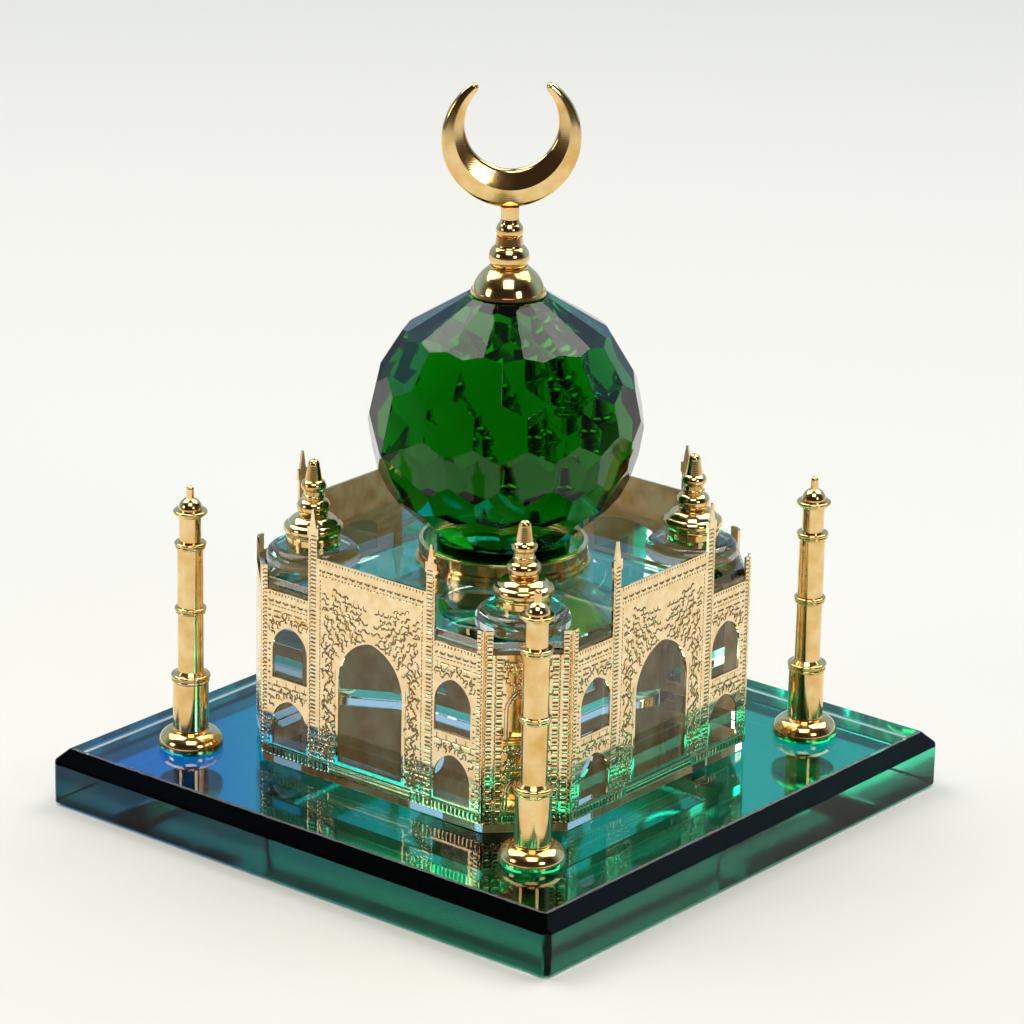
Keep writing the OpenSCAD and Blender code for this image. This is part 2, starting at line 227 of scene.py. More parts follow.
# density is per metre; optical crown glass has an IOR of 1.52, lead crystal about 1.55
clearCrystal = crystal("clear_optical_glass", {
    "wave": 6, "surface": "FAFFFE", "ior": 1.52, "shine": 0.9, "body": "CFEDE6", "density": 4})
plateGlass = crystal("sea_green_plate_glass", {
    "wave": 8, "surface": "F2FDFB", "ior": 1.52, "shine": 0.25, "body": "78AAAE", "density": 22})
emerald = crystal("emerald_cut_crystal", {
    "wave": 5, "surface": "F4FBF5", "ior": 1.55, "shine": 0.5, "body": "00E014", "density": 215})
print("materials made")


def meshObject(name, verts, faces, materials, smoothAngle=35):
    # points in millimetres; the surface is smooth but for folds sharper than smoothAngle degrees
    mesh = bpy.data.meshes.new(name)
    mesh.from_pydata(verts * mm, [], faces)
    mesh.update()
    piece = bpy.data.objects.new(name, mesh)
    bpy.context.scene.collection.objects.link(piece)
    for material in materials:
        mesh.materials.append(material)
    mesh.polygons.foreach_set("use_smooth", np.ones(len(mesh.polygons), bool))
    if smoothAngle:
        mesh.set_sharp_from_angle(angle=math.radians(smoothAngle))
    return piece


def standFor(piece, node):
    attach(piece, "root")
    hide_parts(node)


def turnXY(verts, degrees):
    # turns points about the upright axis
    a = math.radians(degrees)
    out = verts.copy()
    out[:, 0] = verts[:, 0] * math.cos(a) - verts[:, 1] * math.sin(a)
    out[:, 1] = verts[:, 0] * math.sin(a) + verts[:, 1] * math.cos(a)
    return out


def partSpan(kind, p):
    # lowest and highest height of one part of a turned outline
    if kind == "taper":
        return p[0], p[2]
    return (p[0] - p[2], p[0] + p[2]) if kind == "bead" else (p[3], p[4])


def outline(parts):
    # heights and outer radii of a turned piece: at each height the largest radius of all its parts.
    # A taper (z0, r0, z1, r1) runs straight from z0 to z1; a bead (z, r, e) is a half round of radius e
    # that stands out to r; a bowl (r, size, z, z0, z1) is an arc about (r, z), kept from z0 to z1
    beside, tiny = 0.004, 1e-6   # a sample just past each end keeps a step between two parts upright
    spans = [partSpan(kind, p) for kind, p in parts]
    heights = []
    for (kind, p), (low, high) in zip(parts, spans):
        if kind == "bead":
            heights += list(p[0] + p[2] * np.sin(np.linspace(-1, 1, 15) * math.pi / 2))
        elif kind == "bowl":
            heights += list(p[2] + p[1] * np.sin(np.linspace(-1, 1, 41) * math.pi / 2))
        heights += [low - beside, low, high, high + beside]
    z = np.unique(np.round(heights, 4))
    z = z[(z >= min(s[0] for s in spans) - tiny) & (z <= max(s[1] for s in spans) + tiny)]
    radius = np.zeros_like(z)
    for (kind, p), (low, high) in zip(parts, spans):
        if kind == "taper":
            reach = p[1] + (p[3] - p[1]) * (z - p[0]) / (p[2] - p[0])
        elif kind == "bead":
            reach = p[1] - p[2] + np.sqrt(np.clip(p[2] ** 2 - (z - p[0]) ** 2, 0, None))
        else:
            reach = p[0] + np.sqrt(np.clip(p[1] ** 2 - (z - p[2]) ** 2, 0, None))
        radius = np.maximum(radius, np.where((z >= low - tiny) & (z <= high + tiny), reach, 0))
    return z, radius


def roundGrid(z, radius, rounds):
    # the points (r cos u, r sin u, z), one row of them for each height
    u = np.arange(rounds) * 2 * math.pi / rounds
    return np.stack([np.outer(radius, np.cos(u)), np.outer(radius, np.sin(u)),
                     np.repeat(z[:, None], rounds, 1)], -1).reshape(-1, 3)


def gridFaces(rows, columns, closed=False):
    # quads between neighbouring rows of a grid whose rows close on themselves, as its columns may
    i, j = np.meshgrid(np.arange(rows if closed else rows - 1), np.arange(columns), indexing="ij")
    k, n = (j + 1) % columns, (i + 1) % rows
    return np.stack([i * columns + j, i * columns + k, n * columns + k, n * columns + j],
                    -1).reshape(-1, 4)


def spun(name, shape, centre, material, rounds):
    # surface of revolution: its outline carried round the axis, closed by a point at each end
    z, radius = shape
    top = z[-1]
    if radius[-1] < 1e-3:        # the last row is already the end point
        z, radius = z[:-1], radius[:-1]
    grid = roundGrid(z, radius, rounds)
    verts = np.vstack([grid, [[0, 0, z[0]], [0, 0, top]]]) + np.array(centre)
    j = np.arange(rounds)
    k, lastRow = (j + 1) % rounds, (len(z) - 1) * rounds
    foot = np.stack([k, j, np.full(rounds, len(grid))], -1).tolist()
    head = np.stack([lastRow + j, lastRow + k, np.full(rounds, len(grid) + 1)], -1).tolist()
    return meshObject(name, verts, gridFaces(len(z), rounds).tolist() + foot + head, [material])


def onCorners(name, node, parts, offset, foot, material, rounds):
    # a turned piece at each corner, with its axis at offset from the middle along X and along Y
    shape = outline(parts)
    for corner, turn in cornerTurns.items():
        centre = turnXY(np.array([[offset, -offset, foot]]), turn)[0]
        standFor(spun(name + corner, shape, centre, material, rounds), node + corner)


# the plate, the hall and the ball are the frame's own solids; angles in degrees
glass = {"merge": 0.002, "flatAngle": 0.6, "edgeAngle": 8, "plateEdge": 0.22, "hallEdge": 0.15,
         "ballEdge": 0.24}


def polishedCopy(name, node, material, edge, drop):
    # the solid's triangles merged into flat faces, its underside moved down by drop, and a narrow flat
    # ground along every edge, where it catches the light
    bm = bmesh.new()
    bm.from_mesh(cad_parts[node].data)
    bmesh.ops.remove_doubles(bm, verts=bm.verts, dist=glass["merge"] * mm)
    low = min(v.co.z for v in bm.verts)
    for v in bm.verts:
        if v.co.z < low + 0.01 * mm:
            v.co.z -= drop * mm
    bmesh.ops.dissolve_limit(bm, angle_limit=math.radians(glass["flatAngle"]), verts=bm.verts,
                             edges=bm.edges)
    edgeAngle = math.radians(glass["edgeAngle"])
    sharp = [e for e in bm.edges if len(e.link_faces) == 2 and e.calc_face_angle() > edgeAngle]
    bmesh.ops.bevel(bm, geom=sharp, offset=edge * mm, offset_type="OFFSET", segments=1, profile=0.5,
                    affect="EDGES", clamp_overlap=True)
    mesh = bpy.data.meshes.new(name)
    bm.to_mesh(mesh)
    bm.free()
    piece = bpy.data.objects.new(name, mesh)
    bpy.context.scene.collection.objects.link(piece)
    mesh.materials.append(material)
    mesh.polygons.foreach_set("use_smooth", np.zeros(len(mesh.polygons), bool))
    standFor(piece, node)


# the plate is let into its film, while the hall and the ball are lifted off what they stand on
polishedCopy("polished_base_plate", "base_plate", plateGlass, glass["plateEdge"], inset)
polishedCopy("polished_hall_block", "glass_hall", clearCrystal, glass["hallEdge"], -inset)
polishedCopy("faceted_crystal_ball", "crystal_dome", emerald, glass["ballEdge"], -inset)
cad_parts["base_mirror"].data.materials.clear()
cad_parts["base_mirror"].data.materials.append(film)
print("glass bodies made")

disc = {"offset": 21.0, "radius": 7.3, "height": 3.1, "rim": 1.3, "footEdge": 0.6, "rounds": 128}
shoulder = disc["height"] - disc["rim"]
discParts = [
    ("taper", (-inset, disc["radius"] - disc["footEdge"], disc["footEdge"], disc["radius"])),
    ("taper", (disc["footEdge"], disc["radius"], disc["rim"], disc["radius"])),
    ("bowl", (disc["radius"] - shoulder, shoulder, disc["rim"], disc["rim"], disc["height"]))]
onCorners("glass_disc_", "corner_disc_", discParts, disc["offset"], roofTop, clearCrystal,
          disc["rounds"])

finial = {"foot": 4.25, "flange": 4.7, "dome": 2.5, "rounds": 96}
finialParts = [
    ("taper", (-inset, finial["foot"], 1.5, finial["foot"])),
    ("taper", (1.5, finial["foot"] - 0.2, 1.8, finial["foot"] - 0.2)),
    ("bead", (2.7, finial["flange"], 1.0)), ("bowl", (1.9, finial["dome"], 2.3, 2.3, 4.7)),
    ("taper", (4.4, 2.35, 5.1, 2.2)), ("bead", (6.1, 2.65, 1.3)),
    ("taper", (7.0, 1.7, 8.9, 1.45)), ("bead", (7.8, 1.75, 0.3)), ("bead", (9.5, 2.0, 0.95)),
    ("taper", (10.3, 1.35, 12.8, 0.95)), ("bowl", (0, 0.95, 12.8, 12.8, 13.75))]
onCorners("turned_finial_", "corner_finial_", finialParts, disc["offset"],
          roofTop + disc["height"], gold, finial["rounds"])

minaret = {"offset": 34.5, "foot": 5.15, "footRound": 2.3, "low": 2.8, "middle": 2.03, "top": 1.72,
           "cap": 1.9, "spike": 0.6, "rounds": 96}
minaretParts = [
    ("taper", (-inset, minaret["foot"] - 0.25, 0.4, minaret["foot"])),
    ("taper", (0.4, minaret["foot"], 0.7, minaret["foot"])),
    ("bowl", (minaret["foot"] - minaret["footRound"], minaret["footRound"], 0.7, 0.7, 3.0)),
    ("taper", (2.8, minaret["low"] + 0.2, 3.3, minaret["low"])),
    ("taper", (3.0, minaret["low"], 11.3, minaret["low"])),
    ("bead", (11.2, 3.0, 0.3)), ("taper", (11.2, 2.75, 12.2, 2.75)), ("bead", (11.95, 3.12, 0.35)),
    ("taper", (12.1, 2.7, 12.8, minaret["middle"])),
    ("taper", (12.0, minaret["middle"], 33.9, minaret["middle"])),
    ("bead", (22.6, 2.4, 0.28)), ("bead", (23.1, 2.52, 0.3)),
    ("bead", (33.3, 2.4, 0.28)), ("bead", (33.8, 2.52, 0.3)),
    ("taper", (33.8, minaret["top"], 39.2, minaret["top"])),
    ("bead", (38.6, 2.3, 0.28)), ("bead", (39.0, 2.7, 0.32)),
    ("bowl", (0, minaret["cap"], 39.4, 38.4, 41.29)),
    ("taper", (41.0, minaret["spike"], 42.6, minaret["spike"])),
    ("bowl", (0, minaret["spike"], 42.6, 42.6, 43.2))]
onCorners("turned_minaret_", "minaret_", minaretParts, minaret["offset"], baseTop, gold,
          minaret["rounds"])

stem = {"bell": 5.75, "lowBead": 3.15, "highBead": 2.12, "neck": 1.45, "height": 13.9, "rounds": 96}
stemParts = [
    ("taper", (-inset, stem["bell"] - 0.15, 0.3, stem["bell"] + 0.1)),
    ("taper", (0.3, stem["bell"] + 0.1, 0.8, stem["bell"])),
    ("bowl", (0, stem["bell"], -0.5, 0.6, 4.3)),
    ("taper", (3.3, 3.15, 4.6, 2.95)), ("bead", (6.0, stem["lowBead"], 2.1)),
    ("taper", (7.6, 2.25, 9.2, 2.0)), ("bead", (10.2, stem["highBead"], 1.4)),
    ("taper", (11.2, 1.6, 12.0, 1.4)), ("taper", (12.0, 1.4, stem["height"], stem["neck"]))]
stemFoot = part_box("dome_finial")[0].z / mm
standFor(spun("turned_stem", outline(stemParts), (0, 0, stemFoot), gold, stem["rounds"]), "dome_finial")
print("turned gold made")

# the collar is a ring: its section, with a plain wall inside, is carried round the axis
collar = {"radius": 13.2, "height": 3.6, "wall": 0.65, "rounds": 160}
z, radius = outline([
    ("taper", (-inset, collar["radius"] + 0.55, 0.6, collar["radius"] + 0.55)),
    ("taper", (0.6, collar["radius"] + 0.2, 1.3, collar["radius"] + 0.2)),
    ("taper", (1.3, collar["radius"] - 0.25, 1.8, collar["radius"] - 0.25)),
    ("taper", (1.8, collar["radius"], collar["height"] - 0.3, collar["radius"])),
    ("bead", (collar["height"] - 0.25, collar["radius"] + 0.08, 0.25))])
wallRadius = collar["radius"] - collar["wall"]
z = np.concatenate([z, [z[-1], z[0]]]) + roofTop
radius = np.concatenate([radius, [wallRadius, wallRadius]])
band = meshObject("collar_band", roundGrid(z, radius, collar["rounds"]),
                  gridFaces(len(z), collar["rounds"], True).tolist(), [gold])
standFor(band, "dome_collar")

# the crescent lies between a circle and a smaller one whose middle is shift higher; its section, with a
# ridge along its middle, is carried from horn to horn. gap, turn and crease are in degrees
moon = {"radius": 10.7, "inner": 7.2, "shift": 2.5, "gap": 32.0, "slope": 0.37, "rim": 0.6, "rimEdge": 0.3,
        "rimRound": 0.45, "ridgeRound": 0.04, "tip": 0.8, "tipSteps": 12, "steps": 162, "around": 48,
        "turn": 45.0, "crease": 30}
sweep = math.radians(360 - 2 * moon["gap"])
# stations stand closer together at the tips, which narrow along a quarter circle
tipShare = moon["tip"] * (1 - np.cos(np.linspace(0, 1, moon["tipSteps"]) * math.pi / 2))
tipShare = tipShare / (moon["radius"] * sweep)
share = np.concatenate([tipShare, np.linspace(tipShare[-1], 1 - tipShare[-1], moon["steps"])[1:-1],
                        1 - tipShare[::-1]])
phi = math.radians(moon["gap"]) + sweep * share
fromTip = np.minimum(phi - phi[0], phi[-1] - phi) * moon["radius"]
narrow = np.sqrt(np.clip(1 - (1 - np.clip(fromTip / moon["tip"], 0, 1)) ** 2, 0, 1))[:, None]
innerEdge = moon["shift"] * np.cos(phi) + np.sqrt(moon["inner"] ** 2 - (moon["shift"] * np.sin(phi)) ** 2)
middle, half = (moon["radius"] + innerEdge)[:, None] / 2, (moon["radius"] - innerEdge)[:, None] / 2
t = np.arange(moon["around"]) * 2 * math.pi / moon["around"]
across = np.cos(t)[None, :]      # -1 at the inner rim, 1 at the outer one
r = middle + half * across * narrow
fromInner = np.sqrt(r ** 2 + moon["shift"] ** 2 - 2 * r * moon["shift"] * np.cos(phi)[:, None])
# two bevels rise from the rims, and the ridge is a smooth smaller-of-two between them
outerBevel = moon["rim"] + (moon["radius"] - moon["rimEdge"] - r) * moon["slope"]
innerBevel = moon["rim"] + (fromInner - moon["inner"] - moon["rimEdge"]) * moon["slope"]
thick = (outerBevel + innerBevel - np.sqrt((outerBevel - innerBevel) ** 2 + moon["ridgeRound"] ** 2)) / 2
pastRound = np.clip((np.abs(across) * half - half + moon["rimRound"]) / moon["rimRound"], 0, 1)
depth = thick * np.sqrt(1 - pastRound ** 2) * narrow * np.sign(np.round(np.sin(t), 6))[None, :]
upright = np.stack([r * np.sin(phi)[:, None], depth, r * np.cos(phi)[:, None]], -1).reshape(-1, 3)
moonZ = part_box("crescent")[0].z / mm + moon["radius"]
crescent = meshObject("ridged_crescent", turnXY(upright, moon["turn"]) + [0, 0, moonZ],
                      gridFaces(len(phi), moon["around"]).tolist(), [gold], None)
# each tip's last row is one point, so merging the doubles closes it
bm = bmesh.new()
bm.from_mesh(crescent.data)
bmesh.ops.remove_doubles(bm, verts=bm.verts, dist=0.001 * mm)
bmesh.ops.recalc_face_normals(bm, faces=bm.faces)
bm.to_mesh(crescent.data)
bm.free()
crescent.data.set_sharp_from_angle(angle=math.radians(moon["crease"]))
standFor(crescent, "crescent")
print("crescent made")

# the etched sheets; s runs across a sheet from its middle and h upwards from the plate. cell is the grid's
# step, depth the etch's, soft the width of a line's edge and seal the back's way into the glass
sheet = {"thick": 0.35, "cell": 0.115, "depth": 0.08, "soft": 0.08, "seal": 0.02, "crease": 12}


def boxField(s, h, s0, s1, h0, h1):
    # below 0 inside the box
    return np.maximum(np.maximum(s0 - s, s - s1), np.maximum(h0 - h, h - h1))


def archField(s, h, half, sill, top, rise):
    # below 0 inside a pointed arch: two arcs over a straight-sided opening
    shift = (rise * rise - half * half) / (2 * half)
    spring = top - rise
    arcs = np.sqrt((np.abs(s) + shift) ** 2 + (h - spring) ** 2) - (half + shift)
    return np.maximum(np.where(h > spring, arcs, np.abs(s) - half), sill - h)


def stripe(distance, width):
    # 1 on a line of that width, falling to 0 across its soft edge
    return np.clip((width / 2 - np.abs(distance)) / sheet["soft"] + 0.5, 0, 1)


def pulse(x, period, share):
    # 1 for that share of each period, centred on whole periods
    fromWhole = np.abs(x / period - np.round(x / period)) * period
    return np.clip((period * share / 2 - fromWhole) / sheet["soft"] + 0.5, 0, 1)


def within(s, h, s0, s1, h0, h1):
    # 1 inside the box, with an edge 0.1 mm soft
    return np.clip(-boxField(s, h, s0, s1, h0, h1) / 0.1 + 0.5, 0, 1)


def bricks(s, h, length, height):
    # stretcher bond: broken bed joints, and cross joints shifted half a brick each course
    joint = 0.18
    bed = np.round(h / height)
    beds = stripe(h - bed * height, joint) * pulse(s + bed * 0.5 * length, length, 0.72)
    x = s / length + 0.5 * (np.floor(h / height) % 2)
    return np.maximum(beds, stripe((x - np.round(x)) * length, joint) * 0.8)


def ladder(a, h, s0, s1, kind):
    # rungs from s0 to s1 and a dashed rail beside s1
    rungs = within(a, h, s0 + kind["inner"], s1 - kind["outer"], 1.7, kind["rungTop"])
    rail = stripe(a - s1 + kind["rail"], 0.15) * within(a, h, s0, s1, 1.7, kind["railTop"])
    return np.maximum(rungs * pulse(h, kind["pitch"], kind["share"]) * kind["strength"],
                      rail * pulse(h + 0.3, kind["pitch"], 0.6))


def engrave(s, h, points, width):
    # 1 within half the width of any point, on the sheet's grid
    cell = s[1, 0] - s[0, 0]
    etch = np.zeros_like(s)
    column = np.round((points[:, 0] - s[0, 0]) / cell).astype(int)
    row = np.round((points[:, 1] - h[0, 0]) / cell).astype(int)
    for i in range(-2, 3):
        for j in range(-2, 3):
            a, b = column + i, row + j
            inside = (a >= 0) & (b >= 0) & (a < s.shape[0]) & (b < s.shape[1])
            a, b, near = a[inside], b[inside], points[inside]
            gap = np.sqrt((s[a, b] - near[:, 0]) ** 2 + (h[a, b] - near[:, 1]) ** 2)
            np.maximum.at(etch, (a, b), np.clip((width / 2 - gap) / 0.09 + 0.6, 0, 1))
    return etch


def tendrils(s0, s1, h0, h1, spacing, seed, keep, lean):
    # leafy strokes on a shaken grid, mirrored about the middle line: some are arcs of about a third of a
    # turn whose radius shrinks, the others are S waves along the way they lean
    chance = np.random.default_rng(seed)
    gs, gh = np.meshgrid(np.arange(s0, s1, spacing), np.arange(h0, h1, spacing), indexing="ij")
    gs, gh = gs.ravel(), gh.ravel()
    count = gs.size
    gs = gs + chance.uniform(-0.3, 0.3, count) * spacing
    gh = gh + chance.uniform(-0.3, 0.3, count) * spacing
    size = spacing * chance.uniform(0.4, 0.62, count)[:, None]
    start = chance.uniform(0, 2 * math.pi, count)[:, None]
    span = chance.choice([-1, 1], count)[:, None] * chance.uniform(1.9, 2.9, count)[:, None]
    turn = lean(gs, gh)[:, None] + chance.uniform(-0.5, 0.5, count)[:, None]
    isArc = (chance.uniform(0, 1, count) < 0.45)[:, None]
    t = np.linspace(0, 1, 28)[None, :]
    shrink = size * (1 - 0.4 * t)
    along, aside = (t - 0.5) * 2.6 * size, 0.42 * size * np.sin((t - 0.5) * 2 * math.pi) * np.sign(span)
    ps = np.where(isArc, shrink * np.cos(start + span * t), along * np.cos(turn) - aside * np.sin(turn))
    ph = np.where(isArc, shrink * np.sin(start + span * t), along * np.sin(turn) + aside * np.cos(turn))
    points = np.stack([gs[:, None] + ps, gh[:, None] + ph], -1)[keep(gs, gh)].reshape(-1, 2)
    return np.vstack([points, points * [-1, 1]])


# an arch is its half width, sill, top and rise; a pitch is a pattern's step; bands are foot, top and both
# ends of the friezes; heads are where each window's leaves begin
facade = {"half": 22.15, "foot": 1.5, "wing": 28.8, "middle": 36.2, "post": 32.6, "postWidth": 1.2,
          "middleHalf": 10.9, "pilaster": 1.7, "needle": 43.9, "needleHeight": 4.6, "capital": (0.25, 1.7),
          "spire": (0.7, 0.15), "gate": (6.4, 4.0, 24.9, 7.5), "windowAt": 16.35,
          "upper": (3.55, 14.6, 23.4, 4.2), "lower": (3.55, 3.5, 11.2, 4.2), "heads": (20.0, 8.0),
          "leaf": 0.17, "pitch": 0.64, "scallop": 1.5, "tooth": 0.8, "brick": (1.9, 0.95),
          "bands": ((34.1, 36.0, -0.1, 10.7), (26.9, 28.6, 12.8, 20.8)), "steps": (1.95, 2.6, 3.25),
          "posts": ((10.95, 12.6), (20.95, 22.15)),
          "ladder": {"pitch": 0.64, "inner": 0.1, "outer": 0.5, "rail": 0.32, "share": 0.25,
                     "strength": 0.9, "rungTop": 40, "railTop": 39}}


def facadeArches(s, h):
    # the fields of the tall arch, the upper windows and the lower ones
    a = np.abs(s) - facade["windowAt"]
    return (archField(s, h, *facade["gate"]), archField(a, h, *facade["upper"]),
            archField(a, h, *facade["lower"]))


def facadeField(s, h):
    # below 0 on the sheet: wings, raised middle, end posts, pilasters and needles, less the openings
    f = facade
    a = np.abs(s)
    body = boxField(a, h, -1, f["half"], f["foot"], f["wing"])
    body = np.minimum(body, boxField(a, h, -1, f["middleHalf"], f["foot"] + 1, f["middle"]))
    body = np.minimum(body, boxField(a, h, f["half"] - f["postWidth"], f["half"], f["foot"] + 1, f["post"]))
    (lip, capitalHeight), halfPost = f["capital"], f["pilaster"] / 2
    capitalZ = f["needle"] - f["needleHeight"]
    x = a - f["middleHalf"] - halfPost
    post = boxField(x, h, -halfPost, halfPost, f["foot"] + 1, capitalZ + 0.2)
    post = np.minimum(post, boxField(x, h, -halfPost - lip, halfPost + lip, capitalZ,
                                     capitalZ + capitalHeight))
    spireHalf = np.interp(h, [capitalZ + 1.4, f["needle"]], f["spire"])
    spire = np.maximum(np.abs(x) - spireHalf, np.maximum(capitalZ + 1 - h, h - f["needle"]))
    body = np.minimum(body, np.minimum(post, spire))
    return np.maximum(body, -np.minimum.reduce(facadeArches(s, h)))


def facadeLeaves():
    # points of the tendrils over and beside the tall arch and over each window
    f = facade

    def overGate(x, y):
        return ((archField(x, y, *f["gate"]) > 0.3) & (x > 0.9) & (x < 9.7)
                & (y < 32.4 - 1.3 * np.abs(np.sin(x * 0.5))))

    def fan(x, y):
        return np.where(y > 21, np.arctan2(22 - y, x + 0.01) + 1.57, 1.4)

    def border(x, y):
        return (x > 7.3) & (x < 9.7)

    def upright(x, y):
        return np.full_like(x, 1.57)

    leaves = [tendrils(1.0, 10.0, 21.5, 33, 1.12, 3, overGate, fan),
              tendrils(7.6, 9.8, 4.2, 21.5, 1.05, 5, border, upright)]
    for (half, sill, top, rise), foot in zip((f["upper"], f["lower"]), f["heads"]):
        def overWindow(x, y):
            field = archField(x - f["windowAt"], y, half, foot - 5, top, rise)
            return (field > 0.55) & (field < 2.1) & (x > 13.2) & (x < 20.2) & (y > foot)

        def rays(x, y):
            return np.arctan2(y - foot, x - f["windowAt"])

        leaves.append(tendrils(13.2, 20.6, foot, top + 2.2, 0.95, int(top), overWindow, rays))
    return np.vstack(leaves)


def facadeEtch(s, h):
    # etch depth from 0 to 1: the deepest of all the drawing's lines at each point
    f = facade
    a = np.abs(s)
    gate, upper, lower = facadeArches(s, h)
    openings = np.minimum(gate, np.minimum(upper, lower))
    clear = np.clip((openings - 0.4) / 0.1, 0, 1)
    lines = []
    # dentils, scallops and dots under the raised middle's top and the wings' tops
    for low, high, s0, s1 in f["bands"]:
        lines.append(within(a, h, s0, s1, high - 0.35, high) * pulse(s, f["pitch"], 0.34) * 0.9)
        wave = 0.32 * np.abs(np.sin(s * math.pi / f["scallop"]))
        lines.append(stripe(h - low - 0.5 + wave, 0.26) * within(a, h, s0, s1, low - 0.5, high)
                     * pulse(s + f["scallop"] / 2, f["scallop"], 0.75))
        lines.append(stripe(h - low + 0.45, 0.14) * within(a, h, s0, s1, low - 1, high)
                     * pulse(s, f["pitch"], 0.5))
    lines.append(stripe(h - 25.6, 0.16) * within(a, h, 12.9, 20.8, 25, 27) * pulse(s, 2.1, 0.75))
    lines.append(engrave(s, h, facadeLeaves(), f["leaf"]) * np.clip((openings - 0.3) / 0.1, 0, 1))
    lines.append(stripe(h - 28.2 - 0.12 * np.sin(s * 2), 0.14) * within(a, h, 1.2, 9.5, 27, 29)
                 * pulse(s, 2.3, 0.7))
    # a vine between two dashed lines up each side of the tall arch
    vine = 8.5 + 0.55 * np.sin(h * math.pi / 1.5)
    lines.append(stripe((a - vine) * 0.7, 0.2) * within(a, h, 7.4, 9.7, 6.5, 24) * pulse(h, 1.5, 0.6))
    lines.append(stripe(a - 10.2, 0.14) * within(a, h, 9, 11, 2.5, 33) * pulse(h, f["pitch"], 0.55))
    lines.append(stripe(a - 7.05, 0.13) * within(a, h, 6.5, 8, 6.5, 19) * pulse(h, 2.6, 0.8) * 0.8)
    # ladders on the pilasters and end posts
    for s0, s1 in f["posts"]:
        lines.append(ladder(a, h, s0, s1, f["ladder"]))
    # brickwork on the wings, clear of the windows and their leaves
    wing = within(a, h, 12.85, 20.8, 3.0, 25.2) * clear
    leafy = np.maximum((upper < 1.8) * (h > 20.2), (lower < 1.8) * (h > 8.2) * (h < 13.2))
    lines.append(bricks(s, h, *f["brick"]) * wing * (1 - leafy) * 0.9)
    # a checker of dashes low on the sheet, teeth along its foot and steps under the tall arch
    lines.append(within(a, h, 7.0, 20.8, 3.2, 7.0) * clear * pulse(h, f["tooth"], 0.5)
                 * pulse(s + 0.5 * np.floor(h / f["tooth"]), 1.0, 0.6))
    lines.append(within(a, h, 8.9, 21.9, 1.75, 2.8) * pulse(s, f["tooth"], 0.45))
    lines.append(stripe(h - 3.0, 0.16) * within(a, h, 8.9, 21.9, 2, 4))
    for level in f["steps"]:
        lines.append(stripe(h - level, 0.32) * within(a, h, -1, 8.2, 1.5, 4))
    return np.maximum.reduce(lines) * (openings > 0.12)


cornerSheet = {"half": 6.505, "foot": 1.5, "top": 28.8, "post": 32.6, "postWidth": 1.2,
               "upper": (2.9, 15.6, 23.2, 3.6), "lower": (2.9, 3.7, 9.6, 3.6), "leaf": 0.17, "scallop": 1.5,
               "tooth": 0.8, "cords": (10.1, 15.0), "posts": ((5.3, 6.45), (3.75, 4.95)),
               "ladder": {"pitch": 0.64, "inner": 0.05, "outer": 0.3, "rail": 0.12, "share": 0.3,
                          "strength": 1.0, "rungTop": 32, "railTop": 32}}


def cornerField(s, h):
    # below 0 on the sheet: a plain strip with a post up each side
    f = cornerSheet
    a = np.abs(s)
    return np.minimum(boxField(a, h, -1, f["half"], f["foot"], f["top"]),
                      boxField(a, h, f["half"] - f["postWidth"], f["half"], f["foot"] + 1, f["post"]))


def cornerEtch(s, h):
    # etch depth from 0 to 1: ladders, two blind arches, leaves around them, cords, scallops and teeth
    f = cornerSheet
    a = np.abs(s)
    upper, lower = archField(s, h, *f["upper"]), archField(s, h, *f["lower"])

    def free(x, y):
        return (archField(x, y, *f["upper"]) > 0.75) & (archField(x, y, *f["lower"]) > 0.75) & (x < 3.5)

    def level(x, y):
        return 0 * x

    def slanted(x, y):
        return np.full_like(x, 0.8)

    leaves = np.vstack([tendrils(0.3, 3.7, 10.2, 14.8, 0.95, 11, free, level),
                        tendrils(0.3, 3.7, 20.5, 27.6, 1.0, 12, free, slanted),
                        tendrils(0.3, 3.7, 6.5, 10.0, 0.9, 13, free, slanted)])
    lines = [ladder(a, h, s0, s1, f["ladder"]) for s0, s1 in f["posts"]]
    lines += [stripe(arch, 0.18) + stripe(arch - 0.45, 0.12) * (h > 4) for arch in (upper, lower)]
    lines.append(engrave(s, h, leaves, f["leaf"]) * (np.minimum(upper, lower) > 0.4))
    wave = 0.25 * np.abs(np.sin(s * math.pi / f["scallop"]))
    lines.append(stripe(h - 27.9 + wave, 0.22) * within(a, h, -1, 3.6, 27, 28.4))
    lines += [stripe(h - cord, 0.18) * within(a, h, -1, 3.6, 9, 15.4) for cord in f["cords"]]
    lines.append(within(a, h, -1, 6.3, 1.75, 2.8) * pulse(s, f["tooth"], 0.45))
    return np.maximum.reduce(lines)


